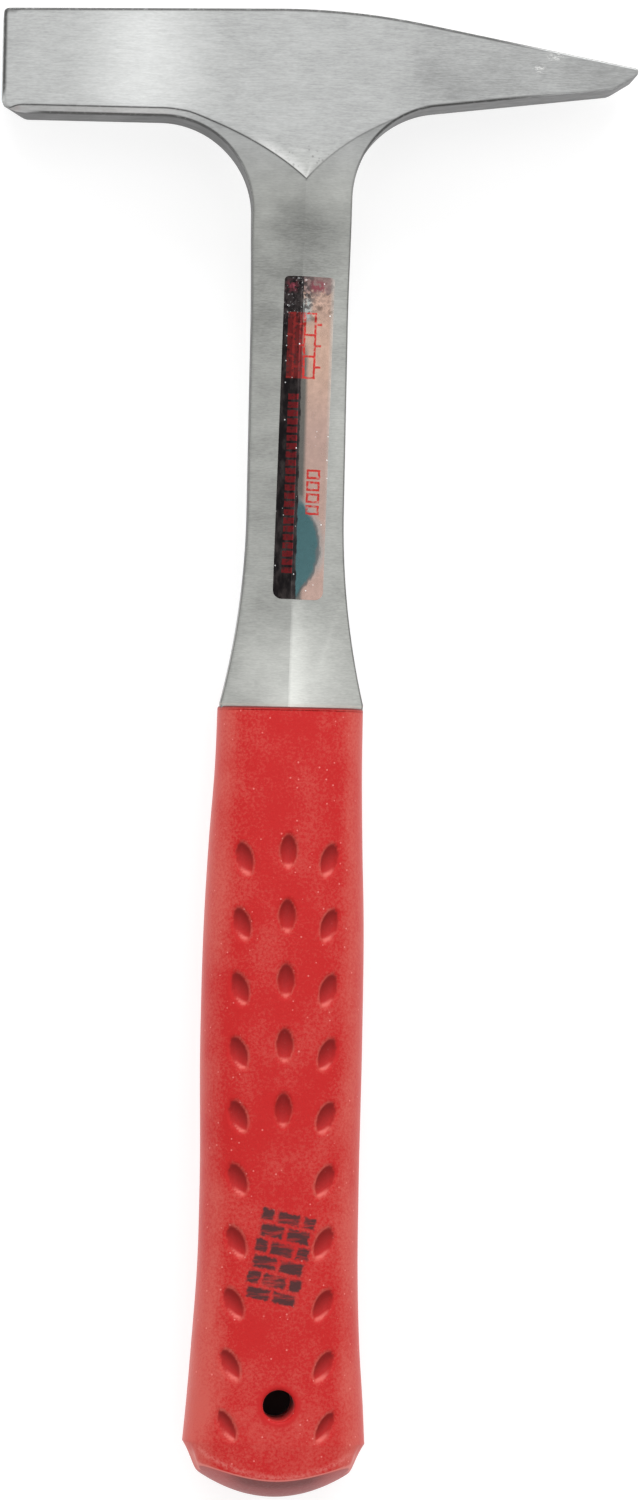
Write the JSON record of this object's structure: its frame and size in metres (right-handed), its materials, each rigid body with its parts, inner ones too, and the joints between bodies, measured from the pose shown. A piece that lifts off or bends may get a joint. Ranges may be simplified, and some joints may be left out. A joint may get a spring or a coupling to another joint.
{
  "type": "cross-peen hammer",
  "caption": "One-piece steel hammer with a square poll, a short cross peen, a dimpled vinyl grip and a hang hole.",
  "frame": {"origin": "centre of the hang hole in the grip, half way through the grip's thickness", "axes": "the hammer lies on its side: +Y from the butt towards the head, +X from the striking face towards the peen, +Z out of the upper flat side"},
  "size_m": [0.1304, 0.3055, 0.0264],
  "materials": {
    "ground_steel": "belt-ground, grain along the head, soft grey",
    "red_vinyl": "matt, finely pebbled, slightly chalky red vinyl",
    "label_foil": "mirror-like foil with red printed marks and fine scratches"
  },
  "bodies": {
    "root": {"steel_forging": "ground_steel", "vinyl_grip": "red_vinyl", "foil_label": "label_foil"}
  },
  "joints": []
}
